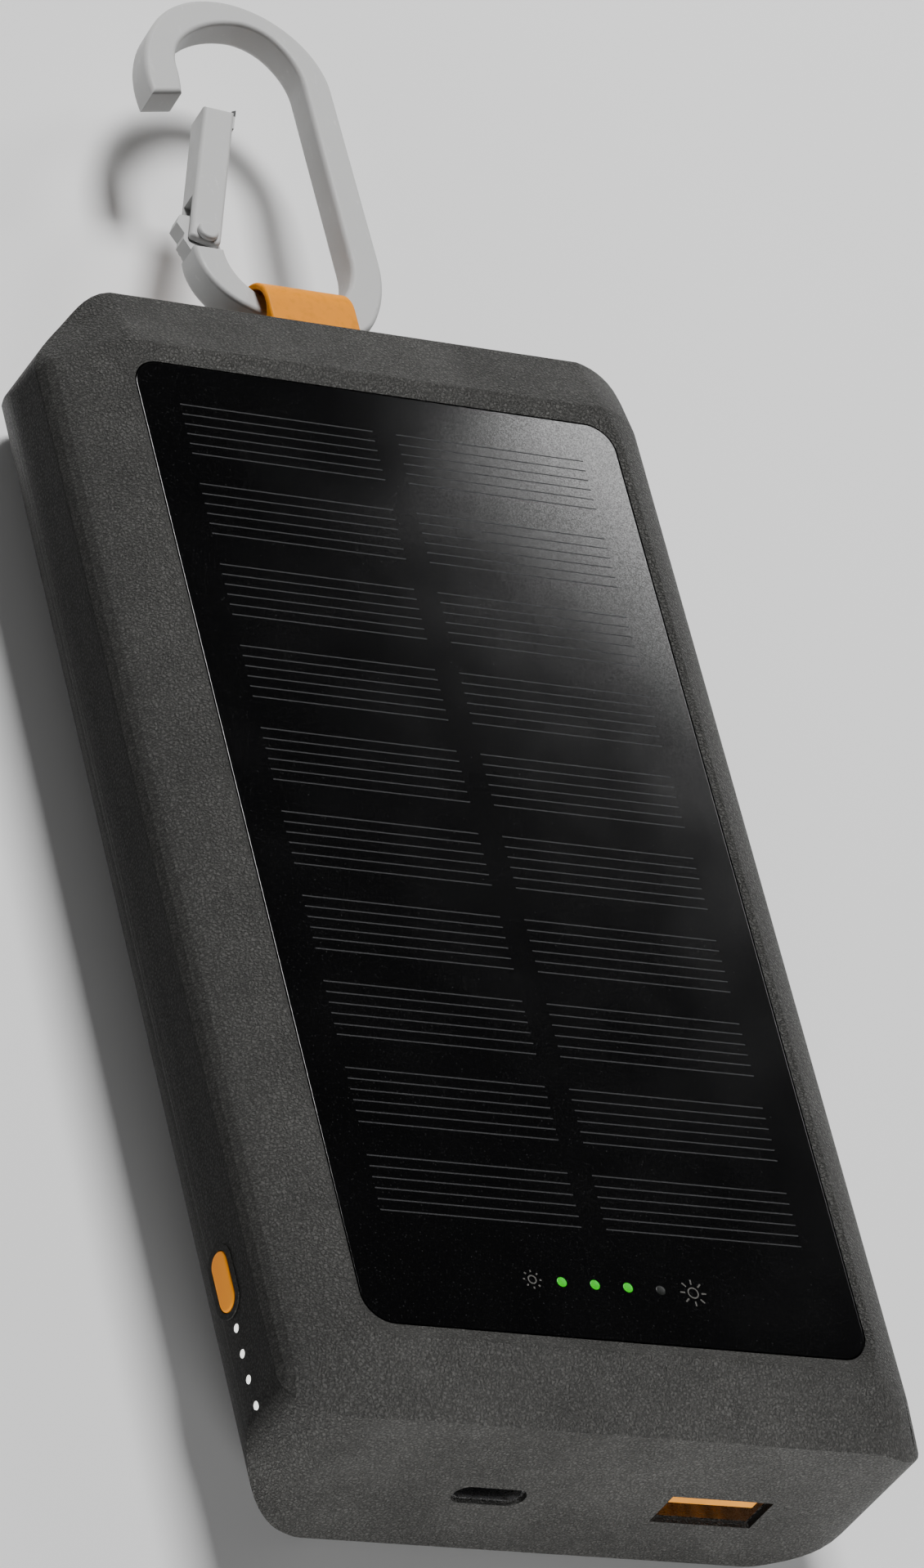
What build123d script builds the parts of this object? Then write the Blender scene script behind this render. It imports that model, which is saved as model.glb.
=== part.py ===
"""Solar phone charger: a rugged battery pack with a solar panel, two USB ports and a carabiner.

The case lies on its back. +X is its width, +Y runs towards the carabiner end, and +Z comes out
of the solar panel. The origin is the centre of the flat back face. Sizes are in millimetres.
"""
import math
import os

from build123d import *

# ---------------------------------------------------------------- driving dimensions: case
HALF_WIDTH = 39.7            # to the flat of the side walls
HALF_LENGTH = 73.1           # to the end faces
PLAN_RADIUS = 8.5            # upright corners of the case
PANEL_Z = 27.1               # front face of the solar panel
RIM_Z = PANEL_Z + 0.92       # top of the rim around the panel
END_DROP = 2.67              # fall of the sloping ends, from the rim to their crease
SHOULDER_RADIUS = 12.47      # curve of the long shoulders
SHOULDER_CENTRE = (28.03, 15.9)
BACK_RADIUS = 15.9           # rounding of the long back edges
BACK_END_RADIUS = 1.0        # rounding of the short back edges
WALL = 2.0
CAVITY_TOP = 23.4
CAVITY_CORNER = 9.0
SEAM_BELOW_CREASE = 0.55     # the two shells part just under the crease
CORNER_X = HALF_WIDTH - PLAN_RADIUS
CORNER_Y = HALF_LENGTH - PLAN_RADIUS

# ---------------------------------------------------------------- driving dimensions: panel
PANEL_HALF_X = 31.65
PANEL_HALF_Y = 62.45
PANEL_CORNER = 3.5
PANEL_GAP = 0.12
BEVEL_RUN_PER_RISE = 1.8 / 0.92
COVER_THICK = 0.4
CELL_THICK = 0.2
BACKING_THICK = 1.0
ADHESIVE_THICK = 0.25
RECESS_FLOOR = PANEL_Z - COVER_THICK - CELL_THICK - BACKING_THICK - ADHESIVE_THICK
CELL_ROWS = 10
CELL_PITCH = 10.95
CELL_SIZE = (25.6, 10.6)
CELL_COLUMN_X = 14.07
FIRST_CELL_Y = 53.5
INDICATOR_Y = -55.6
INDICATOR_X = [0.3 + 4.16 * (index - 1.5) for index in range(4)]
LIGHT_GUIDE_RADIUS = 0.6

# ---------------------------------------------------------------- driving dimensions: ports
USB_A_X, USB_A_Z = 17.5, 11.35
USB_A_OPENING = (12.9, 5.3)
USB_A_SHELL = (13.1, 5.7)
USB_A_DEPTH = 14.0
USB_A_TONGUE = (10.8, 1.85)
USB_C_X, USB_C_Z = -10.7, 11.5
USB_C_OPENING = (9.0, 3.3)
USB_C_SHELL = (8.8, 3.1)
USB_C_DEPTH = 7.6
USB_C_TONGUE = (6.7, 0.7)
PORT_LIP = 0.8
SHEET = 0.3                  # thickness of the port shells

# ---------------------------------------------------------------- driving dimensions: side controls
BUTTON_Y, BUTTON_Z = -51.1, 14.9
BUTTON_SIZE = (7.1, 3.2)
BUTTON_GAP = 0.1
BUTTON_PROUD = 0.3
SIDE_LIGHT_Y = [-56.85 - 3.12 * index for index in range(4)]
SIDE_LIGHT_Z = 15.1
SIDE_LIGHT_RADIUS = 0.475
SIDE_BOARD_X = -33.4         # outer face of the small upright board

# ---------------------------------------------------------------- driving dimensions: inside
BOARD_TOP = 8.5
BOARD_THICK = 1.6
BOARD_HALF_X = 31.0
BOARD_Y = (-70.6, -41.0)
CHIP_PLACES = [               # centre x, centre y, width and depth of each chip
    (-10.5, -57.0, 5.0, 5.0),
    (14.5, -52.5, 6.0, 5.0),
    (24.5, -53.0, 4.0, 4.0),
    (-26.5, -52.5, 4.0, 3.0),
]
BATTERY_LEADS_END_Y = -47.0
CELL_BLOCK = (56.0, 100.0, 9.3)
CELL_BLOCK_Y = 12.0
LOWER_PAD = (2.0, 0.8)
MIDDLE_PAD = 0.6
SCREW_PLACES = [(-21.0, 66.5), (21.0, 66.5), (-21.0, -46.0), (21.0, -46.0)]
BOSS_RADIUS = 3.2
SCREW_RADIUS = 1.25
SCREW_HEAD_RADIUS = 2.4
SCREW_HEAD_Z = (0.5, 2.1)
SCREW_TIP_Z = 16.0

# ---------------------------------------------------------------- driving dimensions: carabiner
EYE_Y, EYE_Z = 80.5, 16.0    # centre of the strap's eye, and the axis the carabiner swings on
EYE_RADIUS = 3.3
STRAP_THICK = 0.8
STRAP_WIDTH = 11.8
STRAP_PIN_Y = 68.5
STRAP_PIN_RADIUS = 1.5
CARABINER_DROOP = -5.0       # degrees, how far it hangs at rest
CARABINER_HALF_THICK = 2.0
CARABINER_EDGE = 0.6
BAR_OFFSET = 0.57            # the outline's own origin sits this far behind the eye's centre
GATE_PIVOT = (-9.8, 11.25)
GATE_CLOSED_TILT = 2.8       # degrees from the carabiner's long axis
GATE_OPEN = 17.0             # degrees that the gate stands open at rest
GATE_HALF_WIDTH = 1.95
GATE_LENGTH = 22.7
GATE_END_SLOPE = math.radians(14.5)
GATE_FORK_HALF = 1.15        # half the slot that straddles the lug
GATE_FORK_TOP = 6.6          # how far the slot runs up the gate from the rivet
GATE_WEB = 0.6               # the wall left along the slot's inner side
SPRING_RADIUS = 0.85
SPRING_LENGTH = 3.0
LUG_HALF_THICK = 1.0
RIVET_RADIUS = 0.8
RIVET_HEAD_RADIUS = 1.3
RIVET_HEAD_HEIGHT = 0.65

# The outline in the carabiner's own plane: +X across, +Y towards the head.
SPINE_OUTER = [(14.9, 38.5), (13.35, 10.9)]
SPINE_INNER = [(11.15, 38.9), (9.35, 11.0)]
OUTER_HEAD = [(2.5, 50.95), (-6.3, 46.8)]
INNER_HEAD = [(9.35, 45.1), (4.3, 47.45), (-4.3, 43.2), (-6.1, 38.6)]
OUTER_FOOT = [(9.9, 1.0), (3.9, -2.15), (-7.8, 0.7)]
INNER_FOOT = [(6.9, 4.7), (1.0, 1.25), (-5.9, 3.4)]
LATCH_NOTCH = (-6.2, 36.0)
ARM_END_OUTER = (-11.95, 9.3)
ARM_END_INNER = (-7.95, 9.3)
LUG_HEEL = [(-2.1, -2.4), (-2.75, -0.4), (-2.35, 0.5), (-2.95, 2.1), (-2.2, 3.4), (-0.9, 3.4), (0.0, 0.0)]
GATE_FOOT = 1.25             # the gate ends this far below its rivet


# ---------------------------------------------------------------- helpers
def block(x_range, y_range, z_range):
    """A box between two limits on each axis."""
    size = [high - low for low, high in (x_range, y_range, z_range)]
    corner = Vector(x_range[0], y_range[0], z_range[0])
    return Pos(corner) * Box(*size, align=(Align.MIN, Align.MIN, Align.MIN))


def rod(start, direction, radius, length):
    """A cylinder from a point along a direction."""
    plane = Plane(origin=start, z_dir=direction)
    return extrude(plane * Circle(radius), length)


def shoulder_height(x, inset=0.0):
    """Height of the curved shoulder at a distance x from the middle."""
    centre_x, centre_z = SHOULDER_CENTRE
    return centre_z + math.sqrt((SHOULDER_RADIUS - inset) ** 2 - (x - centre_x) ** 2)


def crease_height(y):
    """Height of the crease between the top and the walls, at a distance y along the case."""
    along_corner = max(abs(y) - CORNER_Y, 0.0)
    across_corner = math.sqrt(max(PLAN_RADIUS ** 2 - along_corner ** 2, 0.0))
    end_fall = END_DROP * along_corner / PLAN_RADIUS
    return min(RIM_Z, shoulder_height(CORNER_X + across_corner)) - end_fall


def under_shoulders(y_start, flat_top, inset=0.0):
    """The section below the flat rim and both curved shoulders, a little wider than the walls."""
    half_x = HALF_WIDTH - inset + 0.4
    low = -30.0
    wall_z = shoulder_height(half_x, inset)
    start_x = SHOULDER_CENTRE[0] + math.sqrt(
        (SHOULDER_RADIUS - inset) ** 2 - (flat_top - SHOULDER_CENTRE[1]) ** 2)
    middle_x = (start_x + half_x) / 2
    middle_z = shoulder_height(middle_x, inset)
    with BuildSketch(Plane.XZ.offset(-y_start)) as section:
        with BuildLine():
            Line((-start_x, flat_top), (start_x, flat_top))
            ThreePointArc((start_x, flat_top), (middle_x, middle_z), (half_x, wall_z))
            Polyline((half_x, wall_z), (half_x, low), (-half_x, low), (-half_x, wall_z))
            ThreePointArc((-half_x, wall_z), (-middle_x, middle_z), (-start_x, flat_top))
        make_face()
    return section.sketch


def below_top():
    """Everything below the top surface: one section, run level and then down along both ends."""
    middle = extrude(under_shoulders(0.0, RIM_Z), CORNER_Y, both=True)
    run = PLAN_RADIUS + 1.0
    fall = END_DROP * run / PLAN_RADIUS
    far_end = extrude(
        under_shoulders(CORNER_Y, RIM_Z), math.hypot(run, fall), dir=(0, run, -fall))
    return middle + far_end + mirror(far_end, Plane.XZ)


def across_section(inset=0.0):
    """The case without its top shape: upright corners and rounded back edges, inset evenly."""
    half_x = HALF_WIDTH - inset
    half_y = HALF_LENGTH - inset
    corner = PLAN_RADIUS if inset == 0 else CAVITY_CORNER
    height = RIM_Z + 1.0
    plan = extrude(RectangleRounded(2 * half_x, 2 * half_y, corner), height)
    round_x = BACK_RADIUS - inset
    round_y = max(BACK_END_RADIUS - inset, 0.5)
    across = Plane.XZ * Pos(0, inset + height / 2) * Rectangle(2 * half_x, height)
    across = fillet(across.vertices().group_by(Axis.Z)[0], round_x)
    along = Plane.YZ * Pos(0, inset + height / 2) * Rectangle(2 * half_y, height)
    along = fillet(along.vertices().group_by(Axis.Z)[0], round_y)
    return plan & extrude(across, 90.0, both=True) & extrude(along, 60.0, both=True)


def cavity():
    """The hollow inside the closed case."""
    under = extrude(under_shoulders(0.0, CAVITY_TOP, WALL), HALF_LENGTH - WALL, both=True)
    return across_section(WALL) & under & block((-60, 60), (-90, 90), (WALL, CAVITY_TOP))


def front_side():
    """The space that the front shell may fill, above the curved line where the shells part."""
    curve = []
    for step in range(7):
        y = CORNER_Y + PLAN_RADIUS * math.sin(math.radians(15 * step))
        curve.append((y, crease_height(y) - SEAM_BELOW_CREASE))
    side_z = curve[0][1]
    end_z = curve[-1][1]
    mirrored = [(-y, z) for y, z in curve]
    with BuildSketch(Plane.YZ) as region:
        with BuildLine():
            Spline(*curve)
            Polyline(curve[-1], (90, end_z), (90, 50), (-90, 50), (-90, end_z), mirrored[-1])
            Spline(*mirrored)
            Line(mirrored[0], curve[0])
        make_face()
    return extrude(region.sketch, 60.0, both=True)


def bosses(z_low, z_high, places=SCREW_PLACES):
    """Round posts for the case screws."""
    posts = [rod((x, y, z_low), (0, 0, 1), BOSS_RADIUS, z_high - z_low) for x, y in places]
    return Part() + posts


def screw_holes(radius, z_low, z_high):
    """Holes on the screws' axes."""
    holes = [rod((x, y, z_low), (0, 0, 1), radius, z_high - z_low) for x, y in SCREW_PLACES]
    return Part() + holes


def slot_shape(plane, length, width, depth):
    """A bar with fully rounded ends, standing on a plane."""
    return extrude(plane * SlotOverall(length, width), depth)


# ---------------------------------------------------------------- case
def panel_recess():
    """The recess that the panel lies in, with its sloped bevel up to the rim."""
    low_x = PANEL_HALF_X + PANEL_GAP
    low_y = PANEL_HALF_Y + PANEL_GAP
    corner = PANEL_CORNER + PANEL_GAP
    rise = 2.2
    run = rise * BEVEL_RUN_PER_RISE
    floor = Pos(0, 0, RECESS_FLOOR) * RectangleRounded(2 * low_x, 2 * low_y, corner)
    foot = Pos(0, 0, PANEL_Z) * RectangleRounded(2 * low_x, 2 * low_y, corner)
    head = Pos(0, 0, PANEL_Z + rise) * RectangleRounded(
        2 * (low_x + run), 2 * (low_y + run), corner + run)
    return extrude(floor, PANEL_Z - RECESS_FLOOR) + loft([foot, head], ruled=True)


def front_shell(hollow_case):
    """The front shell: rim, shoulders, sloped ends, panel floor and screw posts."""
    shell = (hollow_case & front_side()) - panel_recess()
    posts = bosses(BOARD_TOP, CAVITY_TOP + 0.5)
    shell = shell + posts - screw_holes(SCREW_RADIUS + 0.01, 5.0, SCREW_TIP_Z + 1.0)
    window = block((-12, 12), (INDICATOR_Y - 2.5, INDICATOR_Y + 2.5), (CAVITY_TOP - 1, PANEL_Z))
    lead_hole = rod((10, -43.5, CAVITY_TOP - 1), (0, 0, 1), 2.2, 5.0)
    return shell - window - lead_hole


def port_openings():
    """Openings in the end wall for the two ports."""
    end = -HALF_LENGTH
    a_x = USB_A_OPENING[0] / 2
    a_z = USB_A_OPENING[1] / 2
    openings = block((USB_A_X - a_x, USB_A_X + a_x), (end - 1, end + 3), (USB_A_Z - a_z, USB_A_Z + a_z))
    s_x = USB_A_SHELL[0] / 2 + 0.1
    s_z = USB_A_SHELL[1] / 2 + 0.1
    pocket = block(
        (USB_A_X - s_x, USB_A_X + s_x), (end + PORT_LIP, end + 4), (USB_A_Z - s_z, USB_A_Z + s_z))
    plane = Plane(origin=(USB_C_X, end - 1, USB_C_Z), x_dir=(1, 0, 0), z_dir=(0, 1, 0))
    return openings + pocket + slot_shape(plane, *USB_C_OPENING, 5.0)


def side_plane(x):
    """A plane facing -X, on the button's axis, with its first axis along Y."""
    return Plane(origin=(x, BUTTON_Y, BUTTON_Z), x_dir=(0, 1, 0), z_dir=(-1, 0, 0))


def rear_shell(hollow_case):
    """The rear shell: back, side and end walls, ports, controls, posts and strap lugs."""
    shell = hollow_case - front_side()
    ring_size = (BUTTON_SIZE[0] + 1.5, BUTTON_SIZE[1] + 1.5)
    shell = shell + slot_shape(side_plane(-HALF_WIDTH + 0.6), *ring_size, 0.75)
    hole_size = (BUTTON_SIZE[0] + 2 * BUTTON_GAP, BUTTON_SIZE[1] + 2 * BUTTON_GAP)
    shell = shell - slot_shape(side_plane(-HALF_WIDTH + 4), *hole_size, 6.0)
    seat_size = (BUTTON_SIZE[0] + 1.6, BUTTON_SIZE[1] + 1.6)
    shell = shell - slot_shape(side_plane(-HALF_WIDTH + 4), *seat_size, 4 - WALL + 0.05)
    for y in SIDE_LIGHT_Y:
        shell = shell - rod((-HALF_WIDTH + 4, y, SIDE_LIGHT_Z), (-1, 0, 0), SIDE_LIGHT_RADIUS + 0.02, 6.0)
    board_under = BOARD_TOP - BOARD_THICK
    shell = shell + bosses(WALL - 0.5, board_under, SCREW_PLACES[2:])
    shell = shell + bosses(WALL - 0.5, BOARD_TOP - 0.1, SCREW_PLACES[:2])
    shell = shell - screw_holes(SCREW_RADIUS + 0.2, -1.0, 10.0)
    shell = shell - screw_holes(SCREW_HEAD_RADIUS + 0.25, -1.0, SCREW_HEAD_Z[1])
    shell = shell - port_openings()
    eye_half = EYE_RADIUS + STRAP_THICK + 0.2
    strap_half = STRAP_WIDTH / 2 + 0.2
    shell = shell - block(
        (-strap_half, strap_half), (CORNER_Y, HALF_LENGTH + 1), (EYE_Z - eye_half, EYE_Z + eye_half))
    for side in (-1, 1):
        lug = block((6.6, 9.4), (STRAP_PIN_Y - 2.8, HALF_LENGTH - 1), (EYE_Z - 3.2, EYE_Z + 3.2))
        lug = lug if side > 0 else mirror(lug, Plane.YZ)
        shell = shell + lug
    return shell - rod((-9.0, STRAP_PIN_Y, EYE_Z), (1, 0, 0), STRAP_PIN_RADIUS + 0.02, 18.0)


def case_screws():
    """Four pan-head screws with a cross recess."""
    screws = []
    for x, y in SCREW_PLACES:
        head_height = SCREW_HEAD_Z[1] - SCREW_HEAD_Z[0]
        head = rod((x, y, SCREW_HEAD_Z[0]), (0, 0, 1), SCREW_HEAD_RADIUS, head_height)
        head = fillet(head.edges().group_by(Axis.Z)[0], 0.5)
        shank = rod((x, y, SCREW_HEAD_Z[1]), (0, 0, 1), SCREW_RADIUS, SCREW_TIP_Z - SCREW_HEAD_Z[1])
        cross = block((x - 1.3, x + 1.3), (y - 0.25, y + 0.25), (0, SCREW_HEAD_Z[0] + 0.9))
        cross = cross + block((x - 0.25, x + 0.25), (y - 1.3, y + 1.3), (0, SCREW_HEAD_Z[0] + 0.9))
        screws.append(head + shank - cross)
    return Compound(children=[screw.solid() for screw in screws])


# ---------------------------------------------------------------- solar panel
def panel_layer(z_low, thick, inset=0.0):
    """One full layer of the panel."""
    shape = RectangleRounded(
        2 * (PANEL_HALF_X - inset), 2 * (PANEL_HALF_Y - inset), PANEL_CORNER - inset)
    return extrude(Pos(0, 0, z_low) * shape, thick)


def panel_adhesive():
    """Foam tape ring under the panel."""
    ring = panel_layer(RECESS_FLOOR, ADHESIVE_THICK, 0.3)
    return ring - block((-25.5, 25.5), (-52.5, 56.5), (RECESS_FLOOR - 1, PANEL_Z)) - block(
        (-12.5, 12.5), (INDICATOR_Y - 3, INDICATOR_Y + 5), (RECESS_FLOOR - 1, PANEL_Z))


def solar_backing():
    """The panel's stiff backing board, with holes for the indicator lights."""
    board = panel_layer(RECESS_FLOOR + ADHESIVE_THICK, BACKING_THICK, 0.05)
    for x in INDICATOR_X:
        board = board - rod((x, INDICATOR_Y, RECESS_FLOOR), (0, 0, 1), LIGHT_GUIDE_RADIUS + 0.05, 3.0)
    return board


def solar_cells():
    """Two columns of thin silicon strips."""
    z_low = PANEL_Z - COVER_THICK - CELL_THICK
    cells = []
    for column in (-1, 1):
        for row in range(CELL_ROWS):
            place = Pos(column * CELL_COLUMN_X, FIRST_CELL_Y - row * CELL_PITCH, z_low + CELL_THICK / 2)
            cells.append((place * Box(*CELL_SIZE, CELL_THICK)).solid())
    return Compound(children=cells)


def solar_cover():
    """The glossy laminate over the cells."""
    cover = panel_layer(PANEL_Z - COVER_THICK, COVER_THICK)
    return fillet(cover.edges().group_by(Axis.Z)[-1], 0.12)


def indicator_light_guides():
    """Four clear pins that carry the indicator light up to the cover."""
    z_low = CAVITY_TOP + 0.7
    length = PANEL_Z - COVER_THICK - z_low - 0.05
    pins = [rod((x, INDICATOR_Y, z_low), (0, 0, 1), LIGHT_GUIDE_RADIUS, length) for x in INDICATOR_X]
    return Compound(children=[pin.solid() for pin in pins])


def indicator_board():
    """Small board that hangs under the panel floor."""
    return block((-14, 14), (INDICATOR_Y - 3.4, INDICATOR_Y + 3.4), (CAVITY_TOP - 0.9, CAVITY_TOP - 0.1))


def indicator_leds():
    """Four small lamps on the indicator board."""
    z_low = CAVITY_TOP - 0.1
    lamps = [block((x - 0.8, x + 0.8), (INDICATOR_Y - 0.45, INDICATOR_Y + 0.45), (z_low, z_low + 0.6))
             for x in INDICATOR_X]
    return Compound(children=[lamp.solid() for lamp in lamps])


# ---------------------------------------------------------------- battery
def battery_cell(z_low):
    """One pouch cell with soft edges."""
    cell = Pos(0, CELL_BLOCK_Y, z_low + CELL_BLOCK[2] / 2) * Box(*CELL_BLOCK)
    return fillet(cell.edges(), 1.4)


def battery_pad(z_low, thick, half_x):
    """A foam sheet beside a cell."""
    half_y = CELL_BLOCK[1] / 2 - 4
    return block((-half_x, half_x), (CELL_BLOCK_Y - half_y, CELL_BLOCK_Y + half_y), (z_low, z_low + thick))


def protection_board(z_top):
    """The narrow protection board at the cells' end."""
    end_y = CELL_BLOCK_Y - CELL_BLOCK[1] / 2
    return block((-18, 18), (end_y - 2.9, end_y - 0.1), (z_top - 1.0, z_top))


def battery_tabs(z_top):
    """Nickel tabs from the upper cell's end to the protection board."""
    end_y = CELL_BLOCK_Y - CELL_BLOCK[1] / 2
    tabs = []
    for x in (-12, 12):
        tab = block((x - 2.5, x + 2.5), (end_y - 2.5, end_y - 0.2), (z_top, z_top + 0.15))
        rise = block((x - 2.5, x + 2.5), (end_y - 0.2, end_y), (z_top, z_top + 4.0))
        tabs.append((tab + rise).solid())
    return Compound(children=tabs)


def straight_leads(starts, direction, length):
    """A pair of insulated wires that run straight."""
    wires = [rod(start, direction, 0.55, length) for start in starts]
    return Compound(children=[wire.solid() for wire in wires])


# ---------------------------------------------------------------- electronics
def main_board():
    """The main circuit board, clamped between the screw posts."""
    low, high = BOARD_Y
    outline = Pos(0, (low + high) / 2) * Rectangle(2 * BOARD_HALF_X, high - low)
    outline = fillet(outline.vertices().group_by(Axis.Y)[0], 6.0)
    board = extrude(Pos(0, 0, BOARD_TOP - BOARD_THICK) * outline, BOARD_THICK)
    return board - screw_holes(SCREW_RADIUS + 0.2, 0.0, 12.0)


def main_board_chips():
    """Power and charging chips on the main board."""
    chips = [
        block((x - width / 2, x + width / 2), (y - depth / 2, y + depth / 2), (BOARD_TOP, BOARD_TOP + 1.0))
        for x, y, width, depth in CHIP_PLACES
    ]
    return Compound(children=[chip.solid() for chip in chips])


def power_inductors():
    """Two moulded inductors."""
    coils = []
    for x, y in ((-24.5, -60.5), (4.0, -61.0)):
        coil = block((x - 3.4, x + 3.4), (y - 3.4, y + 3.4), (BOARD_TOP, BOARD_TOP + 4.0))
        coils.append(chamfer(coil.edges().filter_by(Axis.Z), 0.9).solid())
    return Compound(children=coils)


def battery_connector():
    """The socket that the battery leads plug into."""
    socket = block((-4.0, 4.0), (-51.5, -47.0), (BOARD_TOP, BOARD_TOP + 4.2))
    return socket - block((-3.2, 3.2), (-50.5, -48.0), (BOARD_TOP + 1.0, BOARD_TOP + 5.0))


def usb_a_shell():
    """Folded steel shell of the large port."""
    front = -HALF_LENGTH + PORT_LIP + 0.05
    half_x, half_z = USB_A_SHELL[0] / 2, USB_A_SHELL[1] / 2
    outer = block((USB_A_X - half_x, USB_A_X + half_x), (front, front + USB_A_DEPTH),
                  (USB_A_Z - half_z, USB_A_Z + half_z))
    outer = fillet(outer.edges().filter_by(Axis.Y), 0.45)
    in_x, in_z = half_x - SHEET, half_z - SHEET
    inner = block((USB_A_X - in_x, USB_A_X + in_x), (front - 1, front + USB_A_DEPTH - SHEET),
                  (USB_A_Z - in_z, USB_A_Z + in_z))
    return outer - inner


def usb_a_tongue():
    """Plastic tongue of the large port, with its base at the back of the shell."""
    back = -HALF_LENGTH + PORT_LIP + 0.05 + USB_A_DEPTH - SHEET
    z_high = USB_A_Z + USB_A_OPENING[1] / 2 - 0.7
    half_x = USB_A_TONGUE[0] / 2
    tongue = block((USB_A_X - half_x, USB_A_X + half_x), (-HALF_LENGTH + PORT_LIP + 0.1, back),
                   (z_high - USB_A_TONGUE[1], z_high))
    base_half = USB_A_SHELL[0] / 2 - SHEET
    base_z = USB_A_SHELL[1] / 2 - SHEET
    base = block((USB_A_X - base_half, USB_A_X + base_half), (back - 2.5, back),
                 (USB_A_Z - base_z, USB_A_Z + base_z))
    return tongue + base


def usb_c_plane(y):
    """A plane across the small port, facing into the case."""
    return Plane(origin=(USB_C_X, y, USB_C_Z), x_dir=(1, 0, 0), z_dir=(0, 1, 0))


def usb_c_shell():
    """Drawn steel shell of the small port, with two solder legs."""
    front = -HALF_LENGTH + 0.5
    outer = slot_shape(usb_c_plane(front), *USB_C_SHELL, USB_C_DEPTH)
    inner_size = [size - 2 * SHEET for size in USB_C_SHELL]
    inner = slot_shape(usb_c_plane(front - 1), *inner_size, USB_C_DEPTH + 1 - SHEET)
    shell = outer - inner
    for side in (-1, 1):
        x = USB_C_X + side * (USB_C_SHELL[0] / 2 - 0.4)
        shell = shell + block((x - 0.3, x + 0.3), (-67.6, -66.2), (BOARD_TOP, USB_C_Z - 0.6))
    return shell - inner


def usb_c_tongue():
    """Tongue and base of the small port."""
    back = -HALF_LENGTH + 0.5 + USB_C_DEPTH - SHEET
    half_x, half_z = USB_C_TONGUE[0] / 2, USB_C_TONGUE[1] / 2
    tongue = block((USB_C_X - half_x, USB_C_X + half_x), (-HALF_LENGTH + 1.3, back),
                   (USB_C_Z - half_z, USB_C_Z + half_z))
    base_size = [size - 2 * SHEET for size in USB_C_SHELL]
    return tongue + slot_shape(usb_c_plane(back - 1.6), *base_size, 1.6)


# ---------------------------------------------------------------- side controls
def power_button():
    """Rounded button cap with a retaining flange and a post."""
    inner_wall = -HALF_WIDTH + WALL + 0.1
    cap = slot_shape(side_plane(inner_wall), *BUTTON_SIZE, WALL + 0.1 + BUTTON_PROUD)
    cap = fillet(cap.edges().group_by(Axis.X)[0], 0.35)
    flange_size = [size + 1.2 for size in BUTTON_SIZE]
    flange = slot_shape(side_plane(inner_wall + 0.8), *flange_size, 0.8)
    post = rod((inner_wall + 0.8, BUTTON_Y, BUTTON_Z), (1, 0, 0), 1.1, 1.0)
    return cap + flange + post


def switch_plunger():
    """The moving stem of the small switch."""
    start = -HALF_WIDTH + WALL + 0.1 + 1.8
    return rod((start, BUTTON_Y, BUTTON_Z), (1, 0, 0), 0.85, 0.95)


def side_switch():
    """The small switch behind the button."""
    outer_face = SIDE_BOARD_X - 1.9
    half = 2.3
    body = block((outer_face, SIDE_BOARD_X), (BUTTON_Y - half, BUTTON_Y + half),
                 (BUTTON_Z - half, BUTTON_Z + half))
    return body - rod((outer_face - 1, BUTTON_Y, BUTTON_Z), (1, 0, 0), 0.92, 2.2)


def side_board():
    """Upright board that carries the switch and the side lamps."""
    return block((SIDE_BOARD_X, SIDE_BOARD_X + 0.8), (-69.0, -46.5), (7.2, 18.5))


def side_leds():
    """Four small lamps on the upright board."""
    z_range = (SIDE_LIGHT_Z - 0.4, SIDE_LIGHT_Z + 0.4)
    lamps = [block((SIDE_BOARD_X - 0.7, SIDE_BOARD_X), (y - 0.8, y + 0.8), z_range) for y in SIDE_LIGHT_Y]
    return Compound(children=[lamp.solid() for lamp in lamps])


def side_light_pipes():
    """Four clear pins through the side wall, each ending flush with it."""
    inner = SIDE_BOARD_X - 0.8
    pipes = []
    for y in SIDE_LIGHT_Y:
        beyond = max(abs(y) - CORNER_Y, 0.0)
        wall_x = CORNER_X + math.sqrt(PLAN_RADIUS ** 2 - beyond ** 2)
        pipe = rod((inner, y, SIDE_LIGHT_Z), (-1, 0, 0), SIDE_LIGHT_RADIUS, wall_x + inner - 0.02)
        pipes.append(pipe.solid())
    return Compound(children=pipes)


# ---------------------------------------------------------------- strap and carabiner
def strap_loop():
    """Rubber strap: an eye for the carabiner and a solid root on its pin."""
    outer = EYE_RADIUS + STRAP_THICK
    plane = Plane(origin=(-STRAP_WIDTH / 2, EYE_Y, EYE_Z), x_dir=(0, 1, 0), z_dir=(1, 0, 0))
    body = extrude(plane * Circle(outer), STRAP_WIDTH)
    root_y = STRAP_PIN_Y - 3.0
    half_width = STRAP_WIDTH / 2
    body = body + block((-half_width, half_width), (root_y, EYE_Y), (EYE_Z - outer, EYE_Z + outer))
    body = body - extrude(plane * Circle(EYE_RADIUS), STRAP_WIDTH)
    body = fillet(body.edges().filter_by(GeomType.CIRCLE), 0.35)
    return body - rod((-10, STRAP_PIN_Y, EYE_Z), (1, 0, 0), STRAP_PIN_RADIUS + 0.05, 20.0)


def strap_pin():
    """Steel pin that holds the strap's root."""
    return rod((-8.9, STRAP_PIN_Y, EYE_Z), (1, 0, 0), STRAP_PIN_RADIUS, 17.8)


def gate_point(across, along):
    """A point beside the closed gate, in the carabiner's own plane."""
    tilt = math.radians(GATE_CLOSED_TILT)
    x = GATE_PIVOT[0] + across * math.cos(tilt) + along * math.sin(tilt)
    y = GATE_PIVOT[1] - across * math.sin(tilt) + along * math.cos(tilt)
    return (x, y)


def in_case(shape):
    """Moves a shape from the carabiner's own plane to its place in the strap's eye."""
    return Pos(0, EYE_Y, EYE_Z) * Rot(CARABINER_DROOP, 0, 0) * Pos(0, -BAR_OFFSET, 0) * shape


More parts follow.
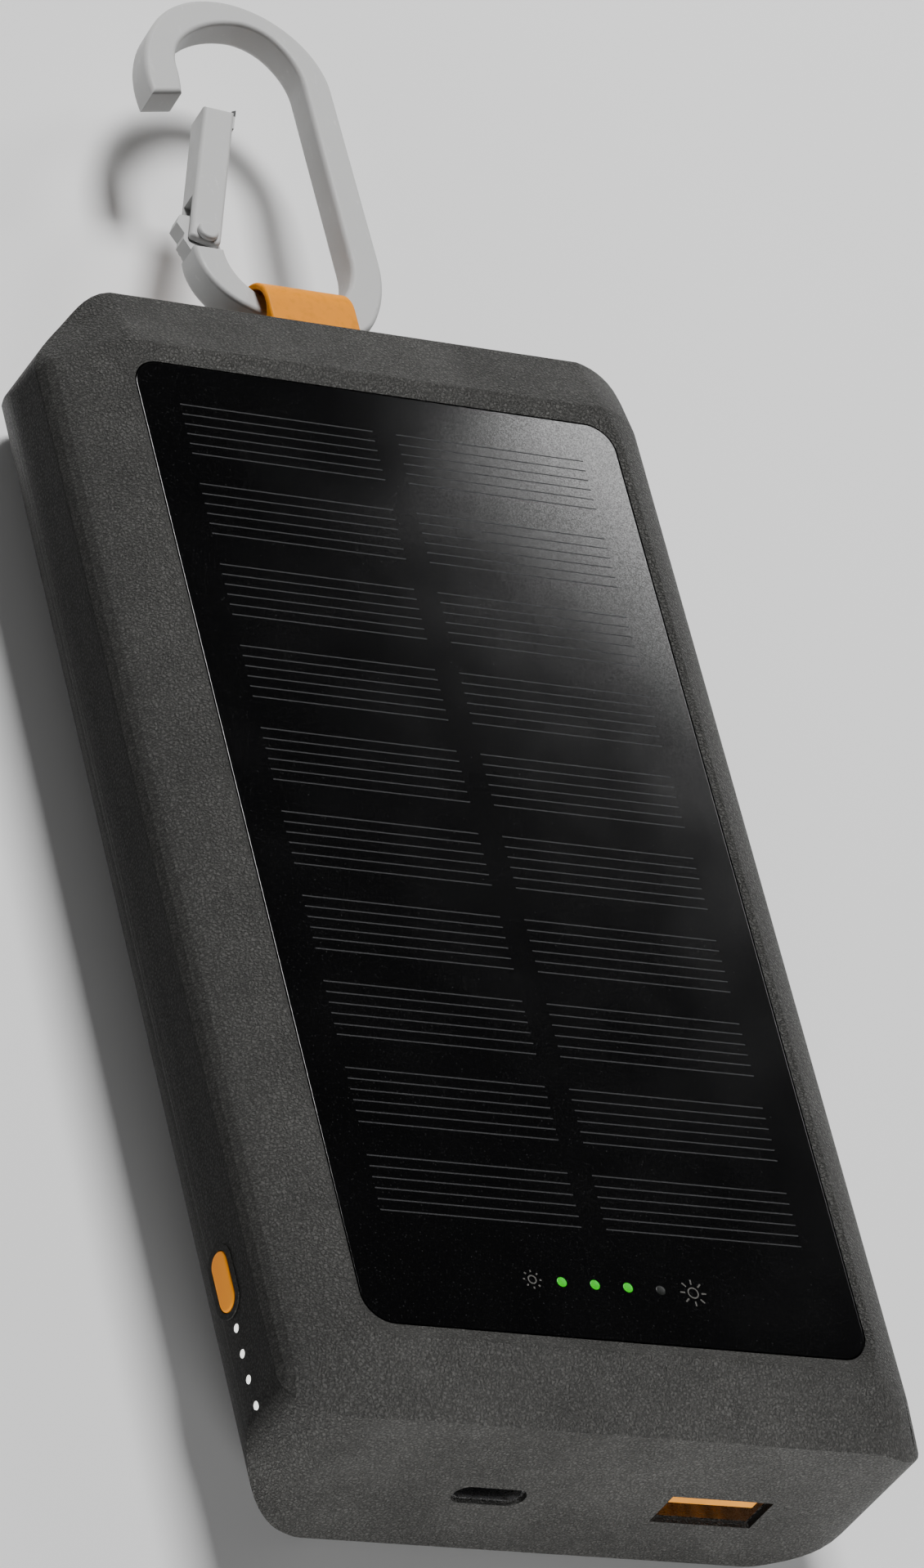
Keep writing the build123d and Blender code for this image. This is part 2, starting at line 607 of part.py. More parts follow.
def arc_chain(start, tangent, points):
    """Arcs through points, each leaving in the direction that the last one arrived."""
    for point in points:
        arc = TangentArc(start, point, tangent=tangent)
        start, tangent = point, arc % 1


def carabiner_body():
    """The flat open hook with a lug for the gate."""
    slope = math.tan(GATE_END_SLOPE)
    nose_outer = gate_point(-2.1, GATE_LENGTH - 2.1 * slope)
    nose_inner = gate_point(2.05, GATE_LENGTH + 2.05 * slope)
    down = (Vector(*SPINE_OUTER[1]) - Vector(*SPINE_OUTER[0])).normalized()
    up = (Vector(*SPINE_INNER[0]) - Vector(*SPINE_INNER[1])).normalized()
    with BuildSketch() as outline:
        with BuildLine():
            Line(*SPINE_OUTER)
            Line(*SPINE_INNER)
            arc_chain(SPINE_OUTER[0], -down, OUTER_HEAD + [nose_outer])
            arc_chain(SPINE_OUTER[1], down, OUTER_FOOT + [ARM_END_OUTER])
            arc_chain(SPINE_INNER[0], up, INNER_HEAD + [nose_inner])
            arc_chain(SPINE_INNER[1], -up, INNER_FOOT + [ARM_END_INNER])
            Line(ARM_END_OUTER, ARM_END_INNER)
            Line(nose_inner, nose_outer)
        make_face()
    body = Pos(0, 0, -CARABINER_HALF_THICK) * extrude(outline.sketch, 2 * CARABINER_HALF_THICK)
    levels = body.edges().group_by(Axis.Z)
    body = fillet(levels[0] + levels[-1], CARABINER_EDGE)
    px, py = GATE_PIVOT
    heel = make_face(Polyline(*LUG_HEEL, close=True)) + Circle(1.9)
    neck = Pos(0.15, -1.8) * Rectangle(3.6, 3.0)
    lug = extrude(Pos(px, py, -LUG_HALF_THICK) * (heel + neck), 2 * LUG_HALF_THICK)
    notch = Pos(*LATCH_NOTCH) * Cylinder(0.35, 8)
    body = body + lug - notch
    return in_case(body - Pos(px, py) * Cylinder(RIVET_RADIUS + 0.02, 10))


def carabiner_gate():
    """The gate: a bar forked around the lug, with a latch tongue, in its open rest position."""
    rise = GATE_HALF_WIDTH * math.tan(GATE_END_SLOPE)
    end = GATE_LENGTH - 0.15
    outline = make_face(Polyline(
        (-GATE_HALF_WIDTH, -GATE_FOOT), (GATE_HALF_WIDTH, -GATE_FOOT), (GATE_HALF_WIDTH, end + rise),
        (-GATE_HALF_WIDTH, end - rise), close=True))
    foot_corners = outline.vertices().group_by(Axis.Y)[0].sort_by(Axis.X)
    outline = fillet(foot_corners[0], 0.5)
    outline = fillet(outline.vertices().sort_by(Axis.X)[-2:].sort_by(Axis.Y)[0], 1.1)
    bar = extrude(Pos(0, 0, -CARABINER_HALF_THICK) * outline, 2 * CARABINER_HALF_THICK)
    levels = bar.edges().group_by(Axis.Z)
    bar = fillet(levels[0] + levels[-1], 0.5)
    fork = block((-5, GATE_HALF_WIDTH - GATE_WEB), (-4, GATE_FORK_TOP), (-GATE_FORK_HALF, GATE_FORK_HALF))
    swing_room = Cylinder(2.5, 2 * GATE_FORK_HALF)
    tongue = block((GATE_HALF_WIDTH - 0.15, GATE_HALF_WIDTH + 0.3),
                   (GATE_LENGTH - 2.0, GATE_LENGTH + 1.3), (-1.4, 1.4))
    tongue = chamfer(tongue.edges().filter_by(Axis.Z).group_by(Axis.Y)[-1].sort_by(Axis.X)[0], 0.4)
    gate = bar - fork - swing_room + tongue
    gate = gate - Cylinder(RIVET_RADIUS + 0.04, 10)
    turn = -(GATE_CLOSED_TILT + GATE_OPEN)
    return in_case(Pos(*GATE_PIVOT) * Rot(0, 0, turn) * gate)


def gate_rivet():
    """Rivet with a low domed head on both faces."""
    head_z = CARABINER_HALF_THICK + 0.05
    rivet = Cylinder(RIVET_RADIUS, 2 * head_z)
    for side in (-1, 1):
        middle = side * (head_z + RIVET_HEAD_HEIGHT / 2)
        head = Pos(0, 0, middle) * Cylinder(RIVET_HEAD_RADIUS, RIVET_HEAD_HEIGHT)
        rim = head.edges().sort_by(Axis.Z)[-1 if side > 0 else 0]
        rivet = rivet + fillet(rim, 0.4)
    return in_case(Pos(*GATE_PIVOT) * rivet)


def gate_spring():
    """Small coil in the gate's slot that bears on the lug and pushes the gate shut, as a plain sleeve."""
    turn = -(GATE_CLOSED_TILT + GATE_OPEN)
    coil = Rot(-90, 0, 0) * (Cylinder(SPRING_RADIUS, SPRING_LENGTH) - Cylinder(0.5, SPRING_LENGTH + 0.2))
    across = GATE_HALF_WIDTH - GATE_WEB - SPRING_RADIUS - 0.05
    along = GATE_FORK_TOP - SPRING_LENGTH / 2 - 0.05
    return in_case(Pos(*GATE_PIVOT) * Rot(0, 0, turn) * Pos(across, along, 0) * coil)


# ---------------------------------------------------------------- build
def build_parts():
    """Every sub-part, by node name."""
    hollow_case = (across_section() & below_top()) - cavity()
    lower_z = sum(LOWER_PAD)
    middle_z = lower_z + CELL_BLOCK[2]
    upper_z = middle_z + MIDDLE_PAD
    upper_top = upper_z + CELL_BLOCK[2]
    board_z = upper_z - 0.1
    lead_y = CELL_BLOCK_Y - CELL_BLOCK[1] / 2 - 2.9
    battery_starts = [(x, lead_y, board_z - 0.6) for x in (-0.8, 0.8)]
    panel_starts = [(x, -43.5, BOARD_TOP) for x in (9.2, 10.8)]
    return {
        "front_shell": front_shell(hollow_case),
        "rear_shell": rear_shell(hollow_case),
        "case_screws": case_screws(),
        "panel_adhesive": panel_adhesive(),
        "solar_backing": solar_backing(),
        "solar_cells": solar_cells(),
        "solar_cover": solar_cover(),
        "indicator_light_guides": indicator_light_guides(),
        "indicator_board": indicator_board(),
        "indicator_leds": indicator_leds(),
        "battery_cell_lower": battery_cell(lower_z),
        "battery_cell_upper": battery_cell(upper_z),
        "battery_pad_lower": battery_pad(LOWER_PAD[0], LOWER_PAD[1], 23.0),
        "battery_pad_middle": battery_pad(middle_z, MIDDLE_PAD, 25.0),
        "battery_pad_upper": battery_pad(upper_top, CAVITY_TOP - upper_top, 25.0),
        "protection_board": protection_board(board_z),
        "battery_tabs": battery_tabs(board_z),
        "battery_leads": straight_leads(battery_starts, (0, -1, 0), lead_y - BATTERY_LEADS_END_Y),
        "panel_leads": straight_leads(panel_starts, (0, 0, 1), RECESS_FLOOR + ADHESIVE_THICK - BOARD_TOP),
        "main_board": main_board(),
        "main_board_chips": main_board_chips(),
        "power_inductors": power_inductors(),
        "battery_connector": battery_connector(),
        "usb_a_shell": usb_a_shell(),
        "usb_a_tongue": usb_a_tongue(),
        "usb_c_shell": usb_c_shell(),
        "usb_c_tongue": usb_c_tongue(),
        "power_button": power_button(),
        "switch_plunger": switch_plunger(),
        "side_switch": side_switch(),
        "side_board": side_board(),
        "side_leds": side_leds(),
        "side_light_pipes": side_light_pipes(),
        "strap_loop": strap_loop(),
        "strap_pin": strap_pin(),
        "carabiner_body": carabiner_body(),
        "carabiner_gate": carabiner_gate(),
        "gate_rivet": gate_rivet(),
        "gate_spring": gate_spring(),
    }


os.makedirs("parts", exist_ok=True)
for name, shape in build_parts().items():
    export_step(shape, f"parts/{name}.step")
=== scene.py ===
"""Solar phone charger: the look of each piece, on the frame made in CAD."""
import math

import bmesh
import bpy
from mathutils import Matrix, Vector


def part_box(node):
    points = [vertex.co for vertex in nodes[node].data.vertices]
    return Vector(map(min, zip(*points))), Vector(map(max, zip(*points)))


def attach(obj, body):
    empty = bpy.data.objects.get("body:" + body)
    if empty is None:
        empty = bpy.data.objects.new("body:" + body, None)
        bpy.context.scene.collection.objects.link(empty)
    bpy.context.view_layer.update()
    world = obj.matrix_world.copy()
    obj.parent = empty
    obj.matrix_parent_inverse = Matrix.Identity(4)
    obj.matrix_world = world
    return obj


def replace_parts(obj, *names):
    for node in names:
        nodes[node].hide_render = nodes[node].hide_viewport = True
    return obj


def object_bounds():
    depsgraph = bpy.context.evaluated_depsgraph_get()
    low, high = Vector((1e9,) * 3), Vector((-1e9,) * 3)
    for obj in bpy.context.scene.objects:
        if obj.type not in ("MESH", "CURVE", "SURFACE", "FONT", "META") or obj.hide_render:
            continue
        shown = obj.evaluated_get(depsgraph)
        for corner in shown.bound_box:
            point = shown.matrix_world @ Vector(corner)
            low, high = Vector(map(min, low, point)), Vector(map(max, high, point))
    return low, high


MM = 0.001

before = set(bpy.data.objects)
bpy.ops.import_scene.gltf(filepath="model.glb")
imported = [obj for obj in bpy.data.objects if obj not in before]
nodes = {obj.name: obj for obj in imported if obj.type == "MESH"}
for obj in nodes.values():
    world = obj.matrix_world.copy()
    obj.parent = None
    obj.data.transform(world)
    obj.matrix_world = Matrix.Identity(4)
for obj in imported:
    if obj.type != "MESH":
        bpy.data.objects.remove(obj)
cad_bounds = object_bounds()


# ---------------------------------------------------------------- shader helpers
class Shader:
    """A material being built: its node tree, its main shader, and a few short ways to add nodes."""

    def __init__(self, name, colour, roughness, metallic=0.0):
        self.material = bpy.data.materials.new(name)
        self.material.use_nodes = True
        self.tree = self.material.node_tree
        self.main = self.tree.nodes["Principled BSDF"]
        self.set(Base_Color=(*colour, 1.0), Roughness=roughness, Metallic=metallic)
        self.place = self.tree.nodes.new("ShaderNodeTexCoord").outputs["Object"]

    def set(self, **values):
        """Sets plain numbers and colours on the main shader; underscores stand for spaces."""
        for key, value in values.items():
            self.main.inputs[key.replace("_", " ")].default_value = value

    def link(self, source, target):
        self.tree.links.new(source, target)

    def into(self, name, source):
        self.link(source, self.main.inputs[name])

    def noise(self, size_mm, detail=3.0, roughness=0.55, place=None):
        """Noise whose features are about size_mm across."""
        node = self.tree.nodes.new("ShaderNodeTexNoise")
        node.inputs["Scale"].default_value = 1.0 / (size_mm * MM)
        node.inputs["Detail"].default_value = detail
        node.inputs["Roughness"].default_value = roughness
        self.link(place or self.place, node.inputs["Vector"])
        return node.outputs["Fac"]

    def cells(self, size_mm, feature="F1", place=None):
        """Cells about size_mm across."""
        node = self.tree.nodes.new("ShaderNodeTexVoronoi")
        node.feature = feature
        node.inputs["Scale"].default_value = 1.0 / (size_mm * MM)
        self.link(place or self.place, node.inputs["Vector"])
        return node.outputs["Distance"]

    def stretched(self, scale):
        """The object's own coordinates, scaled on each axis."""
        node = self.tree.nodes.new("ShaderNodeMapping")
        node.inputs["Scale"].default_value = scale
        self.link(self.place, node.inputs["Vector"])
        return node.outputs["Vector"]

    def warped(self, size_mm, amount_mm):
        """The object's coordinates, pushed about so that cells lose their straight sides."""
        node = self.tree.nodes.new("ShaderNodeTexNoise")
        node.inputs["Scale"].default_value = 1.0 / (size_mm * MM)
        node.inputs["Detail"].default_value = 1.0
        self.link(self.place, node.inputs["Vector"])
        push = self.tree.nodes.new("ShaderNodeVectorMath")
        push.operation = "MULTIPLY_ADD"
        self.link(node.outputs["Color"], push.inputs[0])
        push.inputs[1].default_value = (amount_mm * MM,) * 3
        self.link(self.place, push.inputs[2])
        return push.outputs[0]

    def facing(self, axis):
        """How far the surface itself faces along one of the object's axes, either way: 0 to 1."""
        geometry = self.tree.nodes.new("ShaderNodeNewGeometry")
        turned = self.tree.nodes.new("ShaderNodeVectorTransform")
        turned.vector_type = "NORMAL"
        turned.convert_from = "WORLD"
        turned.convert_to = "OBJECT"
        self.link(geometry.outputs["True Normal"], turned.inputs[0])
        parts = self.tree.nodes.new("ShaderNodeSeparateXYZ")
        self.link(turned.outputs[0], parts.inputs[0])
        return self.math("ABSOLUTE", parts.outputs[axis])

    def scaled(self, colour, factor):
        """A colour made lighter or darker by a factor."""
        node = self.tree.nodes.new("ShaderNodeVectorMath")
        node.operation = "SCALE"
        self.link(colour, node.inputs[0])
        self.link(factor, node.inputs["Scale"])
        return node.outputs[0]

    def math(self, operation, first, second=None, clamp=False):
        node = self.tree.nodes.new("ShaderNodeMath")
        node.operation = operation
        node.use_clamp = clamp
        for socket, value in zip(node.inputs, (first, second)):
            if value is None:
                continue
            if isinstance(value, (int, float)):
                socket.default_value = value
            else:
                self.link(value, socket)
        return node.outputs[0]

    def remap(self, source, low, high, to_low, to_high):
        """Clamped linear remap."""
        node = self.tree.nodes.new("ShaderNodeMapRange")
        values = (low, high, to_low, to_high)
        for name, value in zip(("From Min", "From Max", "To Min", "To Max"), values):
            node.inputs[name].default_value = value
        self.link(source, node.inputs["Value"])
        return node.outputs["Result"]

    def blend(self, factor, first, second):
        """Mixes two colours, each a colour or a socket."""
        node = self.tree.nodes.new("ShaderNodeMix")
        node.data_type = "RGBA"
        self.link(factor, node.inputs["Factor"])
        for socket, value in ((node.inputs[6], first), (node.inputs[7], second)):
            if isinstance(value, tuple):
                socket.default_value = (*value, 1.0)
            else:
                self.link(value, socket)
        return node.outputs[2]

    def bump(self, height, distance_mm, strength=1.0, over=None):
        """Adds a bump; over is an earlier bump that this one lies on."""
        node = self.tree.nodes.new("ShaderNodeBump")
        node.inputs["Distance"].default_value = distance_mm * MM
        node.inputs["Strength"].default_value = strength
        self.link(height, node.inputs["Height"])
        if over is not None:
            self.link(over, node.inputs["Normal"])
        self.into("Normal", node.outputs["Normal"])
        return node.outputs["Normal"]

    def axis(self, index):
        """One of the object's coordinates, in millimetres."""
        node = self.tree.nodes.new("ShaderNodeSeparateXYZ")
        self.link(self.place, node.inputs["Vector"])
        return self.math("DIVIDE", node.outputs[index], MM)


# ---------------------------------------------------------------- materials
def between(shader, value, low, high):
    """1 where a value lies between two limits."""
    return shader.math("MULTIPLY", shader.math("GREATER_THAN", value, low),
                       shader.math("LESS_THAN", value, high))


CASE_SHINE = 0.28
# Painted shade: the colour of the two long upright walls is made this much darker.
PAINTED_WALL_SHADE = 0.25
SMOOTH_WALL_SHINE = 0.06


def leather_grain(name, colour, roughness=0.5):
    """Moulded polymer with a fine leather grain, its colour darker in the grain's hollows and lighter on
    its crests as painted shade and painted highlight; the two long upright walls are plain and darkened
    with painted shade.
    """
    shader = Shader(name, colour, roughness)
    wrinkles = shader.cells(0.44, "DISTANCE_TO_EDGE", place=shader.warped(0.4, 0.5))
    pebbles = shader.noise(0.27, 3.0, 0.6)
    patches = shader.remap(shader.noise(7.0, 2.0), 0.35, 0.65, 0.6, 1.0)
    grain = shader.math("ADD", shader.math("MULTIPLY", shader.remap(wrinkles, 0.0, 0.35, 0.0, 1.0), 0.5),
                        shader.math("MULTIPLY", pebbles, 1.2))
    plain = shader.remap(shader.facing(0), 0.8, 0.97, 1.0, 0.12)
    height = shader.math("MULTIPLY", grain, shader.math("MULTIPLY", patches, plain))
    shader.bump(height, 0.32, 1.0)
    worn = shader.remap(shader.noise(24.0, 3.0), 0.4, 0.66, 0.0, 1.0)
    tint = shader.blend(worn, tuple(0.93 * c for c in colour), tuple(1.1 * c for c in colour))
    # Painted shade and painted highlight: the colour is darker in the grain's hollows and lighter on its
    # crests.
    grain_painted_shade = shader.remap(grain, 0.6, 1.15, 0.45, 1.35)
    # Painted shade: the colour of the two long walls facing along x is darkened.
    painted_wall_shade = shader.remap(shader.facing(0), 0.8, 0.97, 1.0, PAINTED_WALL_SHADE)
    shader.into("Base Color", shader.scaled(tint, shader.math("MULTIPLY", grain_painted_shade, painted_wall_shade)))
    shine = shader.remap(grain, 0.5, 1.1, roughness + 0.06, roughness - 0.07)
    shader.into("Roughness", shine)
    gloss = shader.remap(shader.facing(0), 0.8, 0.97, CASE_SHINE, SMOOTH_WALL_SHINE)
    shader.into("Specular IOR Level", gloss)
    return shader.material


FINGER_FIRST_Y = 56.9
FINGER_GROUP_PITCH = 10.95
FINGER_PITCH = 1.354
FINGERS_PER_GROUP = 6
FINGER_GROUPS = 10
FINGER_WIDTH = 0.16
FINGER_COLUMNS = ((-26.59, -1.57), (1.54, 26.59))
PANEL_BLACK = (0.0012, 0.0012, 0.0014)
PANEL_FLECK = (0.05, 0.05, 0.051)
PANEL_LINE = (0.022, 0.0225, 0.024)


def panel_laminate():
    """Clear laminate over black silicon: fine speckle, and grey collector lines in groups."""
    shader = Shader("panel_laminate", PANEL_BLACK, 0.2)
    x, y = shader.axis(0), shader.axis(1)
    steps = shader.math("DIVIDE", shader.math(
        "SUBTRACT", FINGER_FIRST_Y + FINGER_PITCH / 2, y), FINGER_GROUP_PITCH)
    in_group = shader.math("MULTIPLY", shader.math("FRACT", steps), FINGER_GROUP_PITCH / FINGER_PITCH)
    off_line = shader.math("ABSOLUTE", shader.math("SUBTRACT", shader.math("FRACT", in_group), 0.5))
    line = shader.math("LESS_THAN", off_line, FINGER_WIDTH / 2 / FINGER_PITCH)
    line = shader.math("MULTIPLY", line, shader.math("LESS_THAN", in_group, float(FINGERS_PER_GROUP)))
    line = shader.math("MULTIPLY", line, between(shader, steps, 0.0, float(FINGER_GROUPS)))
    columns = [between(shader, x, low, high) for low, high in FINGER_COLUMNS]
    line = shader.math("MULTIPLY", line, shader.math("ADD", *columns))
    fine = shader.noise(0.17, 2.0, 0.7)
    flecks = shader.math("MULTIPLY", shader.remap(fine, 0.5, 0.72, 0.0, 1.0),
                         shader.remap(shader.cells(0.36), 0.0, 0.34, 1.0, 0.0))
    ground = shader.blend(flecks, PANEL_BLACK, PANEL_FLECK)
    shader.into("Base Color", shader.blend(line, ground, PANEL_LINE))
    shader.bump(shader.noise(0.4, 2.0), 0.002, 0.05)
    haze = shader.remap(shader.noise(14.0, 2.0), 0.35, 0.65, 0.07, 0.085)
    shader.into("Roughness", shader.math("ADD", haze, shader.math("MULTIPLY", line, 0.3)))
    shine = shader.math("MULTIPLY", shader.remap(fine, 0.36, 0.64, 0.28, 0.75),
                        shader.remap(line, 0.0, 1.0, 1.0, 0.2))
    flat_top = shader.remap(shader.facing(2), 0.9, 0.98, 0.0, 1.0)
    shader.into("Specular IOR Level", shader.math("MULTIPLY", shine, flat_top))
    return shader.material


def moulded(name, colour, roughness, grain_mm=0.25, depth_mm=0.02, spread=0.06, coat=0.0, shine=0.5):
    """Plain moulded plastic: a fine texture, faint flow marks and uneven gloss."""
    shader = Shader(name, colour, roughness)
    fine = shader.noise(grain_mm, 3.0)
    flow = shader.noise(6.0, 2.0, place=shader.stretched((1.0, 0.35, 1.0)))
    shader.bump(fine, depth_mm, 0.5)
    dark = tuple(0.88 * c for c in colour)
    light = tuple(min(1.1 * c, 1.0) for c in colour)
    shader.into("Base Color", shader.blend(shader.remap(flow, 0.3, 0.7, 0.0, 1.0), dark, light))
    shader.into("Roughness", shader.remap(flow, 0.3, 0.7, roughness - spread, roughness + spread))
    shader.set(Coat_Weight=coat, Coat_Roughness=0.2, Specular_IOR_Level=shine)
    return shader.material


def soft_rubber(name, colour, roughness=0.4):
    """Smooth rubber with a faint sheen, slight waviness and darker patches of dirt."""
    shader = Shader(name, colour, roughness)
    wave = shader.noise(2.6, 2.0)
    skin = shader.noise(0.18, 2.0)
    first = shader.bump(wave, 0.05, 0.4)
    shader.bump(skin, 0.012, 0.4, over=first)
    dirt = shader.remap(shader.noise(1.1, 4.0), 0.5, 0.72, 0.0, 0.5)
    dark = tuple(0.72 * c for c in colour)
    shader.into("Base Color", shader.blend(dirt, colour, dark))
    shader.into("Roughness", shader.remap(wave, 0.3, 0.7, roughness - 0.07, roughness + 0.07))
    shader.set(Specular_IOR_Level=0.12)
    return shader.material


def coated_alloy(name, colour, roughness=0.38):
    """Satin coated alloy: fine bead-blasted texture, small scuffs, and bare metal at worn spots."""
    shader = Shader(name, colour, roughness)
    shader.set(Specular_IOR_Level=0.3)
    blast = shader.noise(0.12, 2.0)
    orange_peel = shader.noise(0.9, 2.0)
    first = shader.bump(orange_peel, 0.02, 0.35)
    shader.bump(blast, 0.012, 0.4, over=first)
    scuffs = shader.noise(0.8, 5.0, 0.7, place=shader.stretched((1.0, 0.25, 1.0)))
    scuffs = shader.remap(scuffs, 0.6, 0.75, 0.0, 0.6)
    worn = tuple(min(1.35 * c, 1.0) for c in colour)
    shader.into("Base Color", shader.blend(scuffs, colour, worn))
    gloss = shader.noise(3.0, 3.0)
    shader.into("Roughness", shader.remap(gloss, 0.35, 0.65, roughness - 0.07, roughness + 0.08))
    return shader.material


def bare_metal(name, colour, roughness, brushed=(1.0, 8.0, 1.0)):
    """Bare metal with fine brushing."""
    shader = Shader(name, colour, roughness, metallic=1.0)
    lines = shader.noise(0.3, 3.0, place=shader.stretched(brushed))
    shader.bump(lines, 0.008, 0.4)
    shader.into("Roughness", shader.remap(lines, 0.3, 0.7, roughness - 0.08, roughness + 0.1))
    stain = shader.remap(shader.noise(2.0, 4.0), 0.45, 0.7, 0.0, 1.0)
    shader.into("Base Color", shader.blend(stain, colour, tuple(0.75 * c for c in colour)))
    return shader.material


def lamp(name, colour, glow, strength):
    """A small lit lamp, slightly uneven over its face."""
    shader = Shader(name, colour, 0.3)
    shader.set(Emission_Strength=strength, Specular_IOR_Level=0.12)
    spots = shader.remap(shader.noise(0.4, 2.0), 0.3, 0.7, 0.0, 1.0)
    shader.into("Emission Color", shader.blend(spots, glow, tuple(0.75 * c for c in glow)))
    shader.bump(shader.noise(0.25, 1.0), 0.01, 0.3)
    return shader.material


def circuit_board():
    """Green solder mask with faint traces."""
    shader = Shader("solder_mask", (0.01, 0.08, 0.03), 0.35)
    traces = shader.remap(shader.cells(1.6, "DISTANCE_TO_EDGE"), 0.06, 0.09, 1.0, 0.0)
    shader.into("Base Color", shader.blend(traces, (0.008, 0.06, 0.022), (0.02, 0.13, 0.05)))
    shader.bump(traces, 0.03, 0.4)
    shader.set(Coat_Weight=0.4, Coat_Roughness=0.15)
    return shader.material


def pouch_foil():
    """Crinkled silvery pouch."""
    shader = Shader("pouch_foil", (0.6, 0.6, 0.62), 0.35, metallic=0.9)
    crinkle = shader.noise(3.0, 5.0)
    shader.bump(crinkle, 0.25, 0.5)
    shader.into("Roughness", shader.remap(crinkle, 0.35, 0.65, 0.28, 0.45))
    return shader.material


def foam(name, colour):
    """Open-pored foam."""
    shader = Shader(name, colour, 0.9)
    pores = shader.cells(0.5)
    shader.bump(pores, 0.15, 0.8)
    # Painted shade: the colour is darker inside the pores.
    shader.into("Base Color", shader.blend(
        shader.remap(pores, 0.1, 0.6, 0.0, 1.0), tuple(0.5 * c for c in colour), colour))
    return shader.material


MATERIALS = {
    "case": leather_grain("case_grain", (0.061, 0.06, 0.056), 0.55),
    "panel": panel_laminate(),
    "orange": moulded("orange_plastic", (0.82, 0.32, 0.03), 0.38),
    "strap": soft_rubber("strap_rubber", (0.8, 0.27, 0.0), 0.5),
    "alloy": coated_alloy("carabiner_coat", (0.47, 0.47, 0.465), 0.5),
    "steel": bare_metal("rivet_steel", (0.42, 0.42, 0.42), 0.35),
    "screw": bare_metal("screw_steel", (0.16, 0.16, 0.165), 0.4),
    "port": bare_metal("port_plating", (0.62, 0.62, 0.62), 0.25),
    "gold": bare_metal("contact_gold", (0.9, 0.62, 0.25), 0.25),
    "tongue": moulded("black_tongue", (0.015, 0.015, 0.016), 0.5),
    "button": moulded("button_plastic", (1.0, 0.31, 0.0), 0.5, shine=0.12),
    "green_lamp": lamp("green_lamp", (0.002, 0.1, 0.0), (0.01, 1.0, 0.0), 0.62),
    "dim_lamp": lamp("dim_lamp", (0.007, 0.008, 0.007), (0.01, 0.012, 0.01), 0.1),
    "white_lamp": lamp("white_lamp", (0.85, 0.85, 0.82), (1.0, 1.0, 0.97), 1.4),
    "print": moulded("panel_print", (0.04, 0.036, 0.029), 0.5),
    "silicon": moulded("silicon", (0.008, 0.008, 0.014), 0.2, coat=0.3),
    "backing": moulded("backing_board", (0.02, 0.02, 0.02), 0.6),
    "clear": moulded("light_guide", (0.75, 0.8, 0.75), 0.2, coat=0.4),
    "lamp_body": moulded("lamp_body", (0.8, 0.8, 0.72), 0.4),
    "chips": moulded("chip_resin", (0.02, 0.02, 0.022), 0.55),
    "ferrite": moulded("ferrite", (0.1, 0.1, 0.11), 0.7, 0.3, 0.05),
    "nylon": moulded("connector_nylon", (0.8, 0.77, 0.68), 0.45),
    "wire": soft_rubber("wire_jacket", (0.5, 0.03, 0.02)),
    "nickel": bare_metal("nickel_strip", (0.6, 0.58, 0.53), 0.3),
    "board": circuit_board(),
    "pouch": pouch_foil(),
    "foam": foam("foam_pad", (0.06, 0.06, 0.065)),
    "tape": foam("foam_tape", (0.03, 0.03, 0.03)),
}

NODE_MATERIALS = {
    "case_screws": "screw", "panel_adhesive": "tape", "solar_backing": "backing", "solar_cells": "silicon",
    "solar_cover": "panel", "indicator_light_guides": "clear", "indicator_board": "board",
    "indicator_leds": "lamp_body", "battery_cell_lower": "pouch", "battery_cell_upper": "pouch",
    "battery_pad_lower": "foam", "battery_pad_middle": "foam", "battery_pad_upper": "foam",
    "protection_board": "board", "battery_tabs": "nickel", "battery_leads": "wire", "panel_leads": "wire",
    "main_board": "board", "main_board_chips": "chips", "power_inductors": "ferrite",
    "battery_connector": "nylon", "usb_a_shell": "port", "usb_a_tongue": "orange", "usb_c_shell": "port",
    "usb_c_tongue": "tongue", "power_button": "button", "switch_plunger": "tongue", "side_switch": "tongue",
    "side_board": "board", "side_leds": "lamp_body", "side_light_pipes": "white_lamp",
    "strap_loop": "strap", "strap_pin": "steel", "carabiner_body": "alloy", "carabiner_gate": "alloy",
    "gate_rivet": "alloy", "gate_spring": "steel", "front_shell": "case", "rear_shell": "case",
}


def paint(piece, material):
    """Gives the whole piece one material."""
    piece.data.materials.clear()
    piece.data.materials.append(MATERIALS[material])


# ---------------------------------------------------------------- geometry helpers
def new_piece(name, build, material, body):
    """Makes a piece from a function that fills a bmesh, in metres in the row frame."""
    mesh = bpy.data.meshes.new(name)
    shape = bmesh.new()
    build(shape)
    bmesh.ops.recalc_face_normals(shape, faces=shape.faces)
    shape.to_mesh(mesh)
    shape.free()
    piece = bpy.data.objects.new(name, mesh)
    bpy.context.collection.objects.link(piece)
    paint(piece, material)
    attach(piece, body)
    return piece


CORNER_PLACE = (31.2 * MM, 64.6 * MM)
CORNER_RADIUS = 8.5 * MM
EDGE_SOFTNESS = 0.35
PANEL_OPENING = (32.4 * MM, 63.2 * MM)
CORNER_FULLNESS = {(1, 1): 0.8 * MM, (1, -1): 1.1 * MM, (-1, 1): -1.1 * MM, (-1, -1): 0.0}


def shape_corners(shape):
    """Makes each upright corner of the case a little fuller or softer."""
    for vert in shape.verts:
        side = (1 if vert.co.x > 0 else -1, 1 if vert.co.y > 0 else -1)
        local = Vector((abs(vert.co.x) - CORNER_PLACE[0], abs(vert.co.y) - CORNER_PLACE[1]))
        if local.x <= 0 or local.y <= 0:
            continue
        turn = math.atan2(local.y, local.x)
        local *= 1 + CORNER_FULLNESS[side] / CORNER_RADIUS * math.sin(2 * turn) ** 2
        vert.co.x = side[0] * (CORNER_PLACE[0] + local.x)
        vert.co.y = side[1] * (CORNER_PLACE[1] + local.y)


